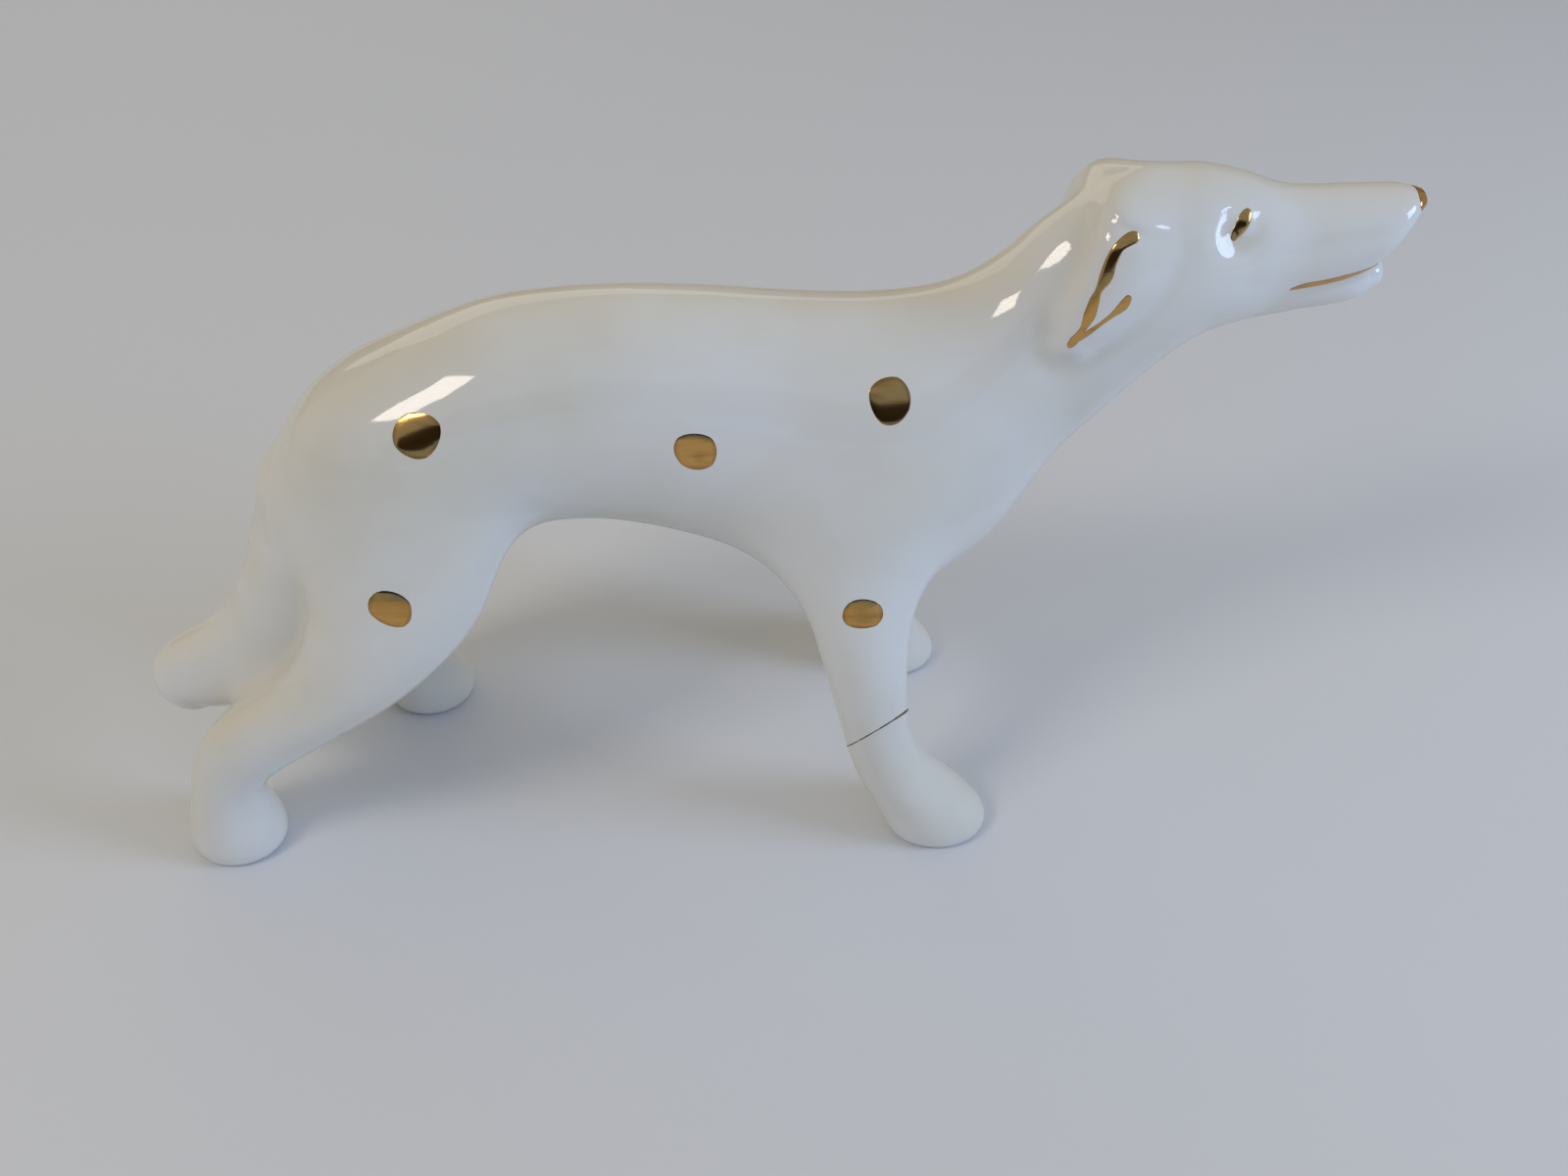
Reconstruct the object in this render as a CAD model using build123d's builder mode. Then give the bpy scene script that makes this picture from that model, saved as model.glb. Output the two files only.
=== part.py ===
from build123d import *

import os
from math import atan2, cos, degrees, radians, sin, tan
from typing import NamedTuple

# A standing greyhound ornament in white glazed earthenware, made as a potter makes it:
# two hollow trunk halves luted along the midline, a hollow head butted on mid-neck,
# solid legs, tail and ears stuck on, and gold daubs and strokes fired onto the glaze.
# Millimetres. +X is towards the nose, +Y the dog's left, +Z up, soles on Z = 0.

# Clay body
WALL = 3.0
VENT_DIAMETER = 4.0

# Gilding
GILD_THICKNESS = 0.3
BRUSH_WIDTH = 1.3
EYE_BRUSH_WIDTH = 1.5
NOSE_GILD_LENGTH = 2.6
NOSE_GILD_DEPTH = 2.2

# The break across the right foreleg, rising towards the front and outwards, and the glue that fills it
BREAK_RISE = 1.0
BREAK_SLOPE = 38.0
BREAK_TILT = 45.0
GLUE_LINE = 0.2

# Stance
FORE_TRACK = 35.6
HIND_TRACK = 28.4
FORE_STAGGER = 2.6

# How far the middle of each stuck-on root lies below the surface that it is stuck to
FORE_ROOT_SINK = 9.4
HIND_ROOT_SINK = 9.2
EAR_ROOT_SINK = 4.3
# How far the middle of an ear's tip lies below the side of the head
EAR_TIP_SINK = 0.3

# Eye sockets, pressed with a ball: its diameter, and where it stands from the middle of the skull
EYE_BALL_DIAMETER = 8.0
EYE_BALL_SPREAD = 17.6
EYE_BALL_AHEAD = 3.2
EYE_BALL_RISE = 7.8

# Sections lofted between two neighbouring stations of a limb
STEPS = 3


class Station(NamedTuple):
    """A section through a limb: its centre in side view and its two diameters.

    out is the share of the way from the limb's root to its end, sideways and in the stagger.
    """

    x: float
    z: float
    depth: float
    width: float
    out: float = 0.0


# Trunk in upright sections, from the rump to the joint half way up the neck
RUMP = Station(x=-60.8, z=51.8, depth=3.0, width=5.0)
BUTTOCK = Station(x=-57.4, z=53.0, depth=11.2, width=14.4)
CROUP = Station(x=-54.0, z=54.0, depth=17.8, width=19.3)
HAUNCH = Station(x=-48.0, z=55.8, depth=23.9, width=24.1)
LOIN = Station(x=-40.0, z=58.0, depth=27.8, width=26.3)
FLANK = Station(x=-30.0, z=60.4, depth=30.2, width=26.0)
WAIST = Station(x=-18.0, z=61.1, depth=31.4, width=24.6)
RIBS = Station(x=-6.0, z=59.2, depth=34.4, width=25.6)
GIRTH = Station(x=6.0, z=55.6, depth=39.2, width=26.6)
SHOULDER = Station(x=17.0, z=53.4, depth=42.4, width=26.8)
CHEST = Station(x=26.0, z=54.9, depth=41.8, width=25.0)
BREAST = Station(x=32.0, z=58.9, depth=40.9, width=22.0)
NECK_ROOT = Station(x=36.0, z=63.8, depth=39.6, width=19.2)
NECK_JOINT = Station(x=40.0, z=69.0, depth=35.6, width=17.4)
BACK = [RUMP, BUTTOCK, CROUP, HAUNCH, LOIN, FLANK, WAIST]
FRONT = [RIBS, GIRTH, SHOULDER, CHEST, BREAST, NECK_ROOT, NECK_JOINT]
TRUNK = BACK + FRONT
HOLLOW_TRUNK = TRUNK[2:]

# Head in upright sections, from the same joint to the nose, and the lower jaw under it
THROAT = Station(x=44.0, z=72.7, depth=33.0, width=17.8)
NAPE = Station(x=48.0, z=76.1, depth=29.8, width=18.6)
CROWN = Station(x=52.0, z=78.4, depth=26.0, width=18.6)
SKULL = Station(x=56.0, z=79.9, depth=22.6, width=17.6)
STOP = Station(x=61.0, z=80.4, depth=19.0, width=15.3)
CHEEK = Station(x=66.0, z=81.1, depth=15.4, width=12.4)
MUZZLE = Station(x=72.0, z=81.7, depth=13.2, width=11.2)
LIP = Station(x=77.0, z=82.8, depth=10.6, width=10.2)
NOSE = Station(x=80.0, z=84.5, depth=6.2, width=8.0)
NOSE_TIP = Station(x=82.4, z=86.0, depth=1.6, width=3.2)
HEAD = [NECK_JOINT, THROAT, NAPE, CROWN, SKULL, STOP, CHEEK, MUZZLE, LIP, NOSE, NOSE_TIP]
HOLLOW_HEAD = HEAD[:6]
JAW = [
    Station(x=54.0, z=74.9, depth=12.8, width=11.4),
    Station(x=60.0, z=75.6, depth=11.1, width=10.0),
    Station(x=68.0, z=76.0, depth=8.6, width=8.8),
    Station(x=75.0, z=76.0, depth=6.6, width=7.2),
    Station(x=78.2, z=76.3, depth=4.0, width=4.6),
]

# Legs in level sections, flared where they are luted to the trunk, down to the flat sole
FOREARM = Station(x=14.5, z=36.0, depth=13.6, width=11.8, out=0.74)
PASTERN = Station(x=17.0, z=18.0, depth=9.3, width=9.4, out=0.99)
FORELEG = [
    Station(x=13.0, z=60.0, depth=14.0, width=8.0),
    Station(x=13.2, z=52.0, depth=20.0, width=13.4, out=0.29),
    Station(x=13.5, z=44.0, depth=18.4, width=12.6, out=0.51),
    FOREARM,
    Station(x=15.5, z=27.0, depth=10.4, width=10.2, out=0.93),
    PASTERN,
    Station(x=19.3, z=12.0, depth=10.5, width=9.8, out=1.0),
    Station(x=22.8, z=7.0, depth=13.2, width=11.4, out=1.0),
    Station(x=25.4, z=2.5, depth=14.6, width=12.4, out=1.0),
    Station(x=25.9, z=0.0, depth=13.6, width=11.4, out=1.0),
]
RIGHT_THIGH = Station(x=-42.7, z=48.0, depth=25.0, width=15.0, out=0.59)
RIGHT_HIND_LEG = [
    Station(x=-43.0, z=61.0, depth=14.0, width=8.0),
    Station(x=-43.0, z=54.0, depth=21.6, width=13.2, out=0.35),
    RIGHT_THIGH,
    Station(x=-45.3, z=38.0, depth=21.4, width=13.7, out=0.87),
    Station(x=-52.2, z=29.0, depth=17.7, width=11.8, out=1.04),
    Station(x=-63.3, z=21.0, depth=17.8, width=10.5, out=1.04),
    Station(x=-69.8, z=14.5, depth=11.6, width=9.5, out=1.02),
    Station(x=-71.9, z=9.5, depth=10.2, width=10.0, out=1.01),
    Station(x=-71.9, z=4.5, depth=12.7, width=12.1, out=1.0),
    Station(x=-71.9, z=2.0, depth=13.3, width=12.7, out=1.0),
    Station(x=-71.8, z=0.0, depth=12.2, width=11.6, out=1.0),
]
LEFT_THIGH = Station(x=-42.6, z=48.0, depth=23.0, width=15.0, out=0.59)
LEFT_HIND_LEG = [
    Station(x=-43.0, z=61.0, depth=14.0, width=8.0),
    Station(x=-42.8, z=54.0, depth=21.2, width=13.2, out=0.35),
    LEFT_THIGH,
    Station(x=-43.2, z=38.0, depth=18.9, width=13.5, out=0.87),
    Station(x=-46.2, z=29.0, depth=15.0, width=11.6, out=1.0),
    Station(x=-50.3, z=21.0, depth=11.7, width=10.2, out=1.0),
    Station(x=-52.0, z=14.5, depth=9.6, width=9.4, out=1.0),
    Station(x=-50.6, z=9.5, depth=11.0, width=10.1, out=1.0),
    Station(x=-48.2, z=4.5, depth=13.2, width=12.3, out=1.0),
    Station(x=-47.8, z=2.0, depth=13.4, width=12.7, out=1.0),
    Station(x=-47.7, z=0.0, depth=12.2, width=11.6, out=1.0),
]

# Tail in slanting sections, down the rump and kicked back to its blunt tip
TAIL = [
    Station(x=-51.0, z=56.5, depth=8.0, width=12.0),
    Station(x=-58.2, z=43.6, depth=13.6, width=18.4),
    Station(x=-61.6, z=34.2, depth=13.8, width=17.8),
    Station(x=-65.6, z=26.6, depth=13.0, width=15.4),
    Station(x=-70.3, z=22.2, depth=12.8, width=13.6),
    Station(x=-75.4, z=19.6, depth=12.2, width=12.2),
    Station(x=-78.1, z=18.4, depth=10.4, width=10.6),
    Station(x=-79.76, z=16.7, depth=8.3, width=8.5),
    Station(x=-80.6, z=15.8, depth=4.6, width=4.7),
]

# Ear flap in sections square to it, from its root on the crown to its tip on the neck
EAR_TOP = Station(x=45.2, z=85.7, depth=8.0, width=4.3, out=0.45)
EAR_MIDDLE = Station(x=43.4, z=81.0, depth=8.0, width=4.0, out=0.8)
EAR_LOW = Station(x=41.3, z=76.4, depth=5.7, width=3.1, out=0.95)
EAR_TIP = Station(x=39.5, z=72.6, depth=1.8, width=1.5, out=1.0)
EAR = [Station(x=46.9, z=88.8, depth=3.8, width=3.2), EAR_TOP, EAR_MIDDLE, EAR_LOW, EAR_TIP]

# The way each kind of section faces
ALONG_BODY = (1, 0, 0)
DOWN_LEG = (0, 0, -1)
DOWN_TAIL = (-1, 0, -1)
DOWN_EAR = (-1, 0, -2.8)


class Daub(NamedTuple):
    """A gold spot: its station, its shift from there, its upward tilt and its diameters."""

    station: Station
    ahead: float
    rise: float
    tilt: float
    length: float
    height: float


TRUNK_DAUBS = {
    "shoulder": Daub(SHOULDER, ahead=0.6, rise=6.7, tilt=33.0, length=5.6, height=6.2),
    "flank": Daub(RIBS, ahead=0.0, rise=1.3, tilt=7.0, length=5.8, height=5.4),
    "haunch": Daub(LOIN, ahead=1.0, rise=0.7, tilt=30.0, length=6.2, height=6.2),
}
FOREARM_DAUB = Daub(FOREARM, ahead=-0.2, rise=4.1, tilt=0.0, length=5.5, height=4.4)
RIGHT_THIGH_DAUB = Daub(RIGHT_THIGH, ahead=-1.8, rise=-3.9, tilt=0.0, length=6.2, height=4.8)
LEFT_THIGH_DAUB = Daub(LEFT_THIGH, ahead=-0.7, rise=-3.9, tilt=0.0, length=6.2, height=4.8)
# Further than any skin stands from the middle of its limb
BRUSH_REACH = SHOULDER.depth

# Gold strokes in side view
EYE_X = SKULL.x + EYE_BALL_AHEAD
EYE_Z = SKULL.z + EYE_BALL_RISE
EYE_STROKE = [(EYE_X + 0.2, EYE_Z - 0.3), (EYE_X - 1.4, EYE_Z - 2.8)]
MOUTH_STROKE = [(CHEEK.x + 0.8, CHEEK.z - 3.8), (MUZZLE.x - 1.4, MUZZLE.z - 4.0), (LIP.x, LIP.z - 3.8)]
EAR_POINT = (EAR_TIP.x - 0.4, EAR_TIP.z + 1.0)
EAR_LONG_STROKE = [
    (EAR_TOP.x + 0.6, EAR_TOP.z + 0.9),
    (EAR_TOP.x - 2.1, EAR_TOP.z - 0.2),
    (EAR_MIDDLE.x - 1.9, EAR_MIDDLE.z),
    EAR_POINT,
]
EAR_SHORT_STROKE = [(EAR_MIDDLE.x + 1.5, EAR_MIDDLE.z - 1.2), (EAR_LOW.x + 1.0, EAR_LOW.z + 0.3), EAR_POINT]


def between(stations):
    """The stations with more set in between them on a smooth curve, STEPS to each gap."""
    filled = []
    padded = [stations[0], *stations, stations[-1]]
    for before, start, end, after in zip(padded, padded[1:], padded[2:], padded[3:]):
        for step in range(STEPS):
            t = step / STEPS
            sizes = []
            for a, b, c, d in zip(before, start, end, after):
                slope = c - a
                bend = 2 * a - 5 * b + 4 * c - d
                twist = 3 * (b - c) + d - a
                sizes.append(b + t * (slope + t * (bend + t * twist)) / 2)
            filled.append(Station(*sizes))
    return [*filled, stations[-1]]


def limb(stations, faces, root_y=0.0, end_y=0.0, stagger=0.0, grow=0.0):
    """Loft a limb through its stations, with every radius made larger by grow."""
    with BuildPart() as body:
        for station in between(stations):
            x = station.x - stagger * station.out
            y = root_y + (end_y - root_y) * station.out
            with BuildSketch(Plane((x, y, station.z), x_dir=(0, 1, 0), z_dir=faces)):
                Ellipse(station.width / 2 + grow, station.depth / 2 + grow)
        loft()
    return body.part


def even_sided(form):
    """A form made up of its right half and that half's mirror image, so that its sides are alike."""
    with BuildPart() as whole:
        add(form)
        split(bisect_by=Plane.XZ, keep=Keep.TOP)
        mirror(about=Plane.XZ)
    return whole.part


def daub(place, middle_y, side, skin, clay):
    """An oval film of gold: what a rod, led outwards from the limb, meets between clay and skin."""
    tilt = radians(place.tilt)
    origin = (place.station.x + place.ahead, middle_y, place.station.z + place.rise)
    with BuildPart() as film:
        with BuildSketch(Plane(origin, x_dir=(1, 0, 0), z_dir=(0, side * cos(tilt), sin(tilt)))):
            Ellipse(place.length / 2, place.height / 2)
        extrude(amount=BRUSH_REACH)
        add(skin, mode=Mode.INTERSECT)
        add(clay, mode=Mode.SUBTRACT)
    return film.part


def strokes(paths, brush, skin, clay):
    """Brush strokes of gold on the right side: each path is drawn in side view and led outwards."""
    with BuildPart() as film:
        with BuildSketch(Plane.XZ):
            for path in paths:
                for start, end in zip(path, path[1:]):
                    run = Vector(*end) - Vector(*start)
                    middle = (Vector(*end) + Vector(*start)) / 2
                    with Locations((middle.X, middle.Y)):
                        SlotCenterToCenter(run.length, brush, rotation=degrees(atan2(run.Y, run.X)))
        extrude(amount=BRUSH_REACH)
        add(skin, mode=Mode.INTERSECT)
        for piece in clay:
            add(piece, mode=Mode.SUBTRACT)
    return film.part


def write(piece, name):
    """Label a finished piece and write its STEP file."""
    piece.label = name
    export_step(piece, f"parts/{name}.step")


def write_pair(right_piece, name):
    """Write a piece of the right side and its mirror image on the left."""
    write(right_piece, f"right_{name}")
    write(mirror(right_piece, about=Plane.XZ), f"left_{name}")


os.makedirs("parts", exist_ok=True)

# Trunk: a hollow half with its half of the vent under the belly, and its mirror image across the seam
trunk_form = even_sided(limb(TRUNK, ALONG_BODY))
trunk_skin = limb(TRUNK, ALONG_BODY, grow=GILD_THICKNESS)
with BuildPart() as trunk_half:
    add(limb(TRUNK, ALONG_BODY))
    split(bisect_by=Plane.XZ, keep=Keep.TOP)
    add(limb(HOLLOW_TRUNK, ALONG_BODY, grow=-WALL), mode=Mode.SUBTRACT)
    with BuildSketch(Plane.XY):
        with Locations((WAIST.x, 0)):
            Circle(VENT_DIAMETER / 2)
    extrude(amount=WAIST.z, mode=Mode.SUBTRACT)
write(trunk_half.part, "trunk_right_half")
write(mirror(trunk_half.part, about=Plane.XZ), "trunk_left_half")

# Head: skull and muzzle, the lower jaw stepped in under the lip, and the eye sockets
eye_balls = [(EYE_X, -EYE_BALL_SPREAD / 2, EYE_Z), (EYE_X, EYE_BALL_SPREAD / 2, EYE_Z)]
with BuildPart() as head_roll:
    add(limb(HEAD, ALONG_BODY))
    add(limb(JAW, ALONG_BODY))
    with Locations(*eye_balls):
        Sphere(EYE_BALL_DIAMETER / 2, mode=Mode.SUBTRACT)
head_form = even_sided(head_roll.part)
with BuildPart() as head:
    add(head_form)
    add(limb(HOLLOW_HEAD, ALONG_BODY, grow=-WALL), mode=Mode.SUBTRACT)
write(head.part, "head")
gilded_tip = NOSE_TIP._replace(x=NOSE_TIP.x + GILD_THICKNESS)
with BuildPart() as head_skin:
    add(limb([*HEAD[:-1], gilded_tip], ALONG_BODY, grow=GILD_THICKNESS))
    with Locations(*eye_balls):
        Sphere(EYE_BALL_DIAMETER / 2 - GILD_THICKNESS, mode=Mode.SUBTRACT)

# Ears, seated on the head and on the neck behind the joint
ear_sides = (-(NAPE.width / 2 - EAR_ROOT_SINK), -(NAPE.width / 2 - EAR_TIP_SINK))
with BuildPart() as right_ear:
    add(limb(EAR, DOWN_EAR, *ear_sides))
    add(head_form, mode=Mode.SUBTRACT)
    add(trunk_form, mode=Mode.SUBTRACT)
write_pair(right_ear.part, "ear")

# Legs, seated on the trunk
fore_root = SHOULDER.width / 2 - FORE_ROOT_SINK
hind_root = LOIN.width / 2 - HIND_ROOT_SINK
leg_layouts = {
    "right_foreleg": (FORELEG, DOWN_LEG, -fore_root, -FORE_TRACK / 2),
    "left_foreleg": (FORELEG, DOWN_LEG, fore_root, FORE_TRACK / 2, FORE_STAGGER),
    "right_hind_leg": (RIGHT_HIND_LEG, DOWN_LEG, -hind_root, -HIND_TRACK / 2),
    "left_hind_leg": (LEFT_HIND_LEG, DOWN_LEG, hind_root, HIND_TRACK / 2),
}
legs = {}
for name, layout in leg_layouts.items():
    with BuildPart() as leg:
        add(limb(*layout))
        add(trunk_form, mode=Mode.SUBTRACT)
    legs[name] = leg.part

# The right foreleg broke above the paw and was glued
break_middle = (PASTERN.x, -FORE_TRACK / 2, PASTERN.z + BREAK_RISE)
fracture = Plane(break_middle, z_dir=(-tan(radians(BREAK_SLOPE)), tan(radians(BREAK_TILT)), 1))
glue_top = fracture.offset(GLUE_LINE / 2)
glue_bottom = fracture.offset(-GLUE_LINE / 2)
with BuildPart() as right_foreleg:
    add(legs["right_foreleg"])
    split(bisect_by=glue_top, keep=Keep.TOP)
with BuildPart() as right_forepaw:
    add(legs["right_foreleg"])
    split(bisect_by=glue_bottom, keep=Keep.BOTTOM)
with BuildPart() as repair_adhesive:
    add(legs["right_foreleg"])
    split(bisect_by=glue_top, keep=Keep.BOTTOM)
    split(bisect_by=glue_bottom, keep=Keep.TOP)
write(right_foreleg.part, "right_foreleg")
write(right_forepaw.part, "right_forepaw")
write(repair_adhesive.part, "repair_adhesive")
for name in ("left_foreleg", "right_hind_leg", "left_hind_leg"):
    write(legs[name], name)

# Tail, seated on the rump and between the thighs
with BuildPart() as tail:
    add(limb(TAIL, DOWN_TAIL))
    add(trunk_form, mode=Mode.SUBTRACT)
    for name in ("right_hind_leg", "left_hind_leg"):
        add(legs[name], mode=Mode.SUBTRACT)
write(tail.part, "tail")

# Gold daubs
for name, place in TRUNK_DAUBS.items():
    write_pair(daub(place, 0, -1, trunk_skin, trunk_form), f"{name}_spot")
for name, leg_name, place in (
    ("right_forearm_spot", "right_foreleg", FOREARM_DAUB),
    ("left_forearm_spot", "left_foreleg", FOREARM_DAUB),
    ("right_thigh_spot", "right_hind_leg", RIGHT_THIGH_DAUB),
    ("left_thigh_spot", "left_hind_leg", LEFT_THIGH_DAUB),
):
    layout = leg_layouts[leg_name]
    root_y, paw_y = layout[2:4]
    middle_y = root_y + (paw_y - root_y) * place.station.out
    side = 1 if paw_y > 0 else -1
    leg_skin = limb(*layout, grow=GILD_THICKNESS)
    write(daub(place, middle_y, side, leg_skin, limb(*layout)), name)

# Gold strokes at the eyes, mouth and ears, and the gilded nose
write_pair(strokes([EYE_STROKE], EYE_BRUSH_WIDTH, head_skin.part, [head_form]), "eye_gilding")
write_pair(strokes([MOUTH_STROKE], BRUSH_WIDTH, head_skin.part, [head_form]), "mouth_gilding")
ear_skin = limb(EAR, DOWN_EAR, *ear_sides, grow=GILD_THICKNESS)
ear_inside = limb(EAR, DOWN_EAR, *(y + 2 * GILD_THICKNESS for y in ear_sides), grow=GILD_THICKNESS)
ear_clay = [limb(EAR, DOWN_EAR, *ear_sides), ear_inside, head_form, trunk_form]
write_pair(strokes([EAR_LONG_STROKE, EAR_SHORT_STROKE], BRUSH_WIDTH, ear_skin, ear_clay), "ear_gilding")
with BuildPart() as nose_gilding:
    with BuildSketch(Plane.XZ):
        with Locations((NOSE_TIP.x + GILD_THICKNESS, NOSE_TIP.z + NOSE_TIP.depth)):
            Rectangle(NOSE_GILD_LENGTH * 2, NOSE_GILD_DEPTH * 2)
    extrude(amount=NOSE.width, both=True)
    add(head_skin.part, mode=Mode.INTERSECT)
    add(head_form, mode=Mode.SUBTRACT)
write(nose_gilding.part, "nose_gilding")
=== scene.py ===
import logging
import math
from dataclasses import dataclass, field
from enum import Enum
from itertools import product
from typing import NamedTuple

import bpy
import numpy as np
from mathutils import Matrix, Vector


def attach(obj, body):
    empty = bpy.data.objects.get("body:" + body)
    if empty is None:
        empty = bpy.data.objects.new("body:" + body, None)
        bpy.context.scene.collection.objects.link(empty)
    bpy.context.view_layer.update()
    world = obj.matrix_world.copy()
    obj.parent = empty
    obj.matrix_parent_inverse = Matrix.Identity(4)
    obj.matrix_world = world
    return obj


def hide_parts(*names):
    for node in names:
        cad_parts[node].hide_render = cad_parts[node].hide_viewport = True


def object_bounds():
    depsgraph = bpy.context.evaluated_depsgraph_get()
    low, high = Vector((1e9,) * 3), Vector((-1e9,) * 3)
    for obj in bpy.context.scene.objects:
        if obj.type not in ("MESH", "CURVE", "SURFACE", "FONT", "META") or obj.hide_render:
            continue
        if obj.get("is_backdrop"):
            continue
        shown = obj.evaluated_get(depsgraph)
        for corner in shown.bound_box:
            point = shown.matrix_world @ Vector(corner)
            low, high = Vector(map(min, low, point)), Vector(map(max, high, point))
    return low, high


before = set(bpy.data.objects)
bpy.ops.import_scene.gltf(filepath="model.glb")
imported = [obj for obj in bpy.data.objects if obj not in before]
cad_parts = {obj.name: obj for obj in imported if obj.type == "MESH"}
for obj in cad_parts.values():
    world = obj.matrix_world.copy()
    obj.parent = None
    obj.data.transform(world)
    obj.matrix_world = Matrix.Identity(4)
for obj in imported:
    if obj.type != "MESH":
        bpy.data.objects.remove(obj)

# A standing greyhound ornament in white glazed earthenware with fired gold. Sizes are millimetres:
# +X is towards the nose, +Y the dog's left, +Z up, soles on Z = 0. Meshes are written in metres.

Array = np.ndarray
Xyz = tuple[float, float, float]
Piece = bpy.types.Object
Material = bpy.types.Material
Tree = bpy.types.NodeTree
Node = bpy.types.Node
Socket = bpy.types.NodeSocket
Meshed = tuple[Array, Array, Array]
LOG = logging.getLogger("greyhound")
MM = 0.001
BODY = "root"

# Grid on which the skin is found, how far from the skin it is worked out, and how often its net is evened
SKIN_PITCH = 0.6
COARSE = 4
SKIN_BAND = 4.2
SKIN_MARGIN = 3.2
RELAX_ROUNDS = 4
# Step of the slopes taken from a distance, and of the curvature that the glaze pools by
SLOPE_STEP = 0.04
POOL_STEP = 1.6
# How far outside the dog a brush mark starts, and the share of the distance left that a step down takes
CLEAR_OF_SKIN = 30.0
STEP_DOWN = 0.75
# Keeps a division away from zero
TINY = 1e-6


class Side(Enum):
    """The two sides of the dog, by the sign of Y."""

    RIGHT = -1
    LEFT = 1

    @property
    def word(self) -> str:
        """The side's name as the pieces have it."""
        return self.name.lower()


class Facing(Enum):
    """The way the sections of a limb face, in side view: X and Z."""

    ALONG_BODY = (1.0, 0.0)
    DOWN_LEG = (0.0, -1.0)
    DOWN_TAIL = (-1.0, -1.0)
    DOWN_EAR = (-1.0, -2.8)

    @property
    def along(self) -> Array:
        """Unit vector square to the sections."""
        x, z = self.value
        return np.array((x, 0.0, z)) / math.hypot(x, z)

    @property
    def deep(self) -> Array:
        """Unit vector in side view along a section's depth."""
        x, _, z = self.along
        return np.array((-z, 0.0, x))


class Station(NamedTuple):
    """A section through a limb: its centre in side view, its diameters and its share of the way outwards."""

    x: float
    z: float
    depth: float
    width: float
    out: float = 0.0


class Press(NamedTuple):
    """A thumb's press (below zero) or a swelling of the clay, alike on both sides: a bell over an oval."""

    x: float
    y: float
    z: float
    reach: Xyz
    height: float

    def rise(self, points: Array) -> Array:
        """Its height at each point: the full height times e to the minus squared share of the reach."""
        share = (np.where((False, True, False), np.abs(points), points) - self[:3]) / self.reach
        return self.height * np.exp(-np.sum(share**2, axis=1))


def linear(hex_colour: str) -> tuple[float, float, float, float]:
    """Turn an sRGB hex colour into the linear colour that a shader takes, by the sRGB curve.

    Args:
        hex_colour: six hex digits after a hash sign.

    Returns:
        Linear red, green and blue, and an alpha of one.
    """
    parts = [int(hex_colour[i : i + 2], 16) / 255 for i in (1, 3, 5)]
    red, green, blue = (c / 12.92 if c <= 0.04045 else ((c + 0.055) / 1.055) ** 2.4 for c in parts)
    return red, green, blue, 1.0


def wire(node: Node, inputs: dict[str | int, object]) -> None:
    """Set or link a node's inputs.

    Args:
        node: the node.
        inputs: for each input, by name or number: a value, an sRGB hex colour, a socket to link from, or a
            node, which is linked from its first output in use.
    """
    for name, value in inputs.items():
        if isinstance(value, Node):
            value = next(output for output in value.outputs if output.enabled)
        if isinstance(value, Socket):
            node.id_data.links.new(value, node.inputs[name])
        else:
            node.inputs[name].default_value = linear(value) if isinstance(value, str) else value


def add_node(tree: Tree, kind: str, inputs: dict[str | int, object], **settings: object) -> Node:
    """Add a shader node.

    Args:
        tree: the node tree that it joins.
        kind: the type of node, by Blender's name without the words ShaderNode.
        inputs: its inputs, as wire takes them.
        settings: the node's own properties.

    Returns:
        The new node.
    """
    made = tree.nodes.new(f"ShaderNode{kind}")
    for name, value in settings.items():
        setattr(made, name, value)
    wire(made, inputs)
    return made


def new_material(name: str) -> tuple[Material, Tree, Node]:
    """Start a node material.

    Args:
        name: what the real material is and how its surface was made.

    Returns:
        The material, its emptied node tree, and its Principled shader linked to the output.
    """
    material = bpy.data.materials.new(name)
    material.use_nodes = True
    tree = material.node_tree
    tree.nodes.clear()
    shader = add_node(tree, "BsdfPrincipled", {})
    add_node(tree, "OutputMaterial", {"Surface": shader})
    return material, tree, shader


def per_metre(size: float) -> float:
    """Texture scale on Object coordinates for a pattern of this size in millimetres."""
    return 1.0 / (size * MM)


def melded(first: Array, second: Array, fillet: float) -> Array:
    """Join two solids given by their distances: the lesser one, lowered by a parabola where they are close.

    Args:
        first: distances from one surface, negative inside.
        second: distances from the other.
        fillet: how close the two distances are where the filling starts.

    Returns:
        Distances from the joined surface.
    """
    near = np.clip(fillet - np.abs(first - second), 0.0, None)
    return np.minimum(first, second) - near**2 / (4.0 * fillet)


def through(known: Array, steps: int) -> Array:
    """Carry a curve through rows of values: between two of them, the cubic whose slope at each end is half
    the difference between the neighbours of that end.

    Args:
        known: the rows to go through.
        steps: rows made between one known row and the next.

    Returns:
        The rows of the curve.
    """
    before = np.vstack((known[:1], known[:-2]))[:, None]
    start = known[:-1][:, None]
    end = known[1:][:, None]
    after = np.vstack((known[2:], known[-1:]))[:, None]
    t = np.linspace(0.0, 1.0, steps, endpoint=False)[None, :, None]
    bend = 2 * before - 5 * start + 4 * end - after
    twist = 3 * (start - end) + after - before
    curve = start + t * (end - before + t * (bend + t * twist)) / 2
    return np.vstack((curve.reshape(-1, known.shape[1]), known[-1:]))


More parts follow.
